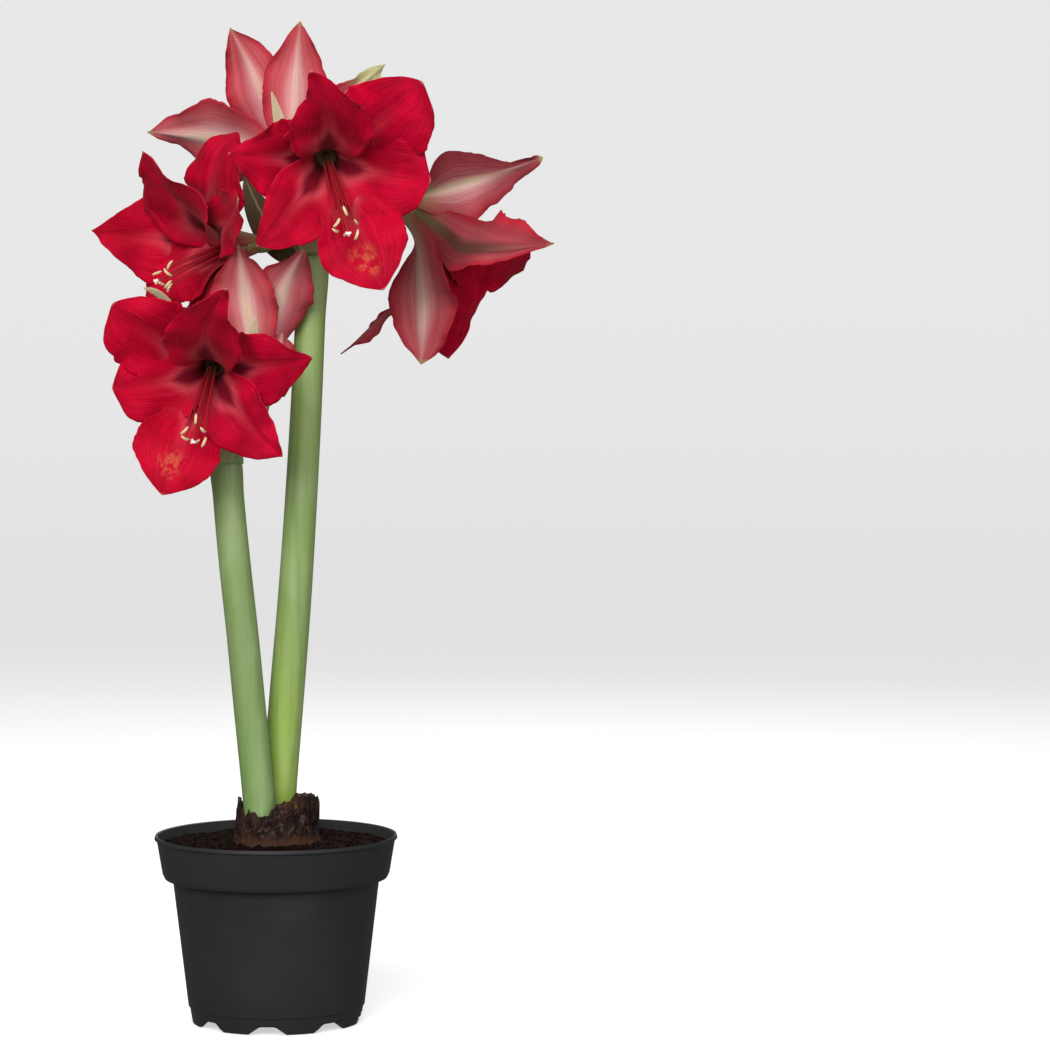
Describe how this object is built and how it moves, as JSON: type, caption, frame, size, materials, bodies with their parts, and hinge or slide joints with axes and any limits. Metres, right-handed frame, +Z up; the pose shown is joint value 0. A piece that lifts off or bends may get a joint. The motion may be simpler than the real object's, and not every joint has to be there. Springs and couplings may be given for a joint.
{
  "type": "amaryllis in a pot",
  "caption": "Potted bulb plant: leafless stout stalks from one bulb in a tapered plastic nursery pot, each topped by a head of large red trumpet blooms.",
  "frame": {"origin": "on the table, under the middle of the whole plant's bounding box", "axes": "+Z up along the stalks, -Y towards the viewer of the picture, +X to the picture's right"},
  "size_m": [0.321, 0.2664, 0.6983],
  "materials": {
    "pot_black_plastic": "satin black moulded plastic",
    "soil_brown": "dark coarse potting soil",
    "bulb_skin_brown": "dry papery brown scales",
    "scape_green": "smooth green stalk, faintly streaked",
    "bract_olive": "thin dry olive bract",
    "petal_red": "soft crimson petal with fine veins",
    "stamen_red": "slender red filament, pale anther"
  },
  "bodies": {
    "root": {"pot": "pot_black_plastic", "soil": "soil_brown", "bulb": "bulb_skin_brown", "scape_tall": "scape_green", "scape_short": "scape_green", "spathe_tall": "bract_olive", "spathe_short": "bract_olive", "bloom_tall_front": "petal_red", "stamens_tall_front": "stamen_red", "bloom_tall_back": "petal_red", "stamens_tall_back": "stamen_red", "bloom_tall_right": "petal_red", "stamens_tall_right": "stamen_red", "bloom_tall_left": "petal_red", "stamens_tall_left": "stamen_red", "bloom_short_front": "petal_red", "stamens_short_front": "stamen_red", "bloom_short_back": "petal_red", "stamens_short_back": "stamen_red"}
  },
  "joints": []
}
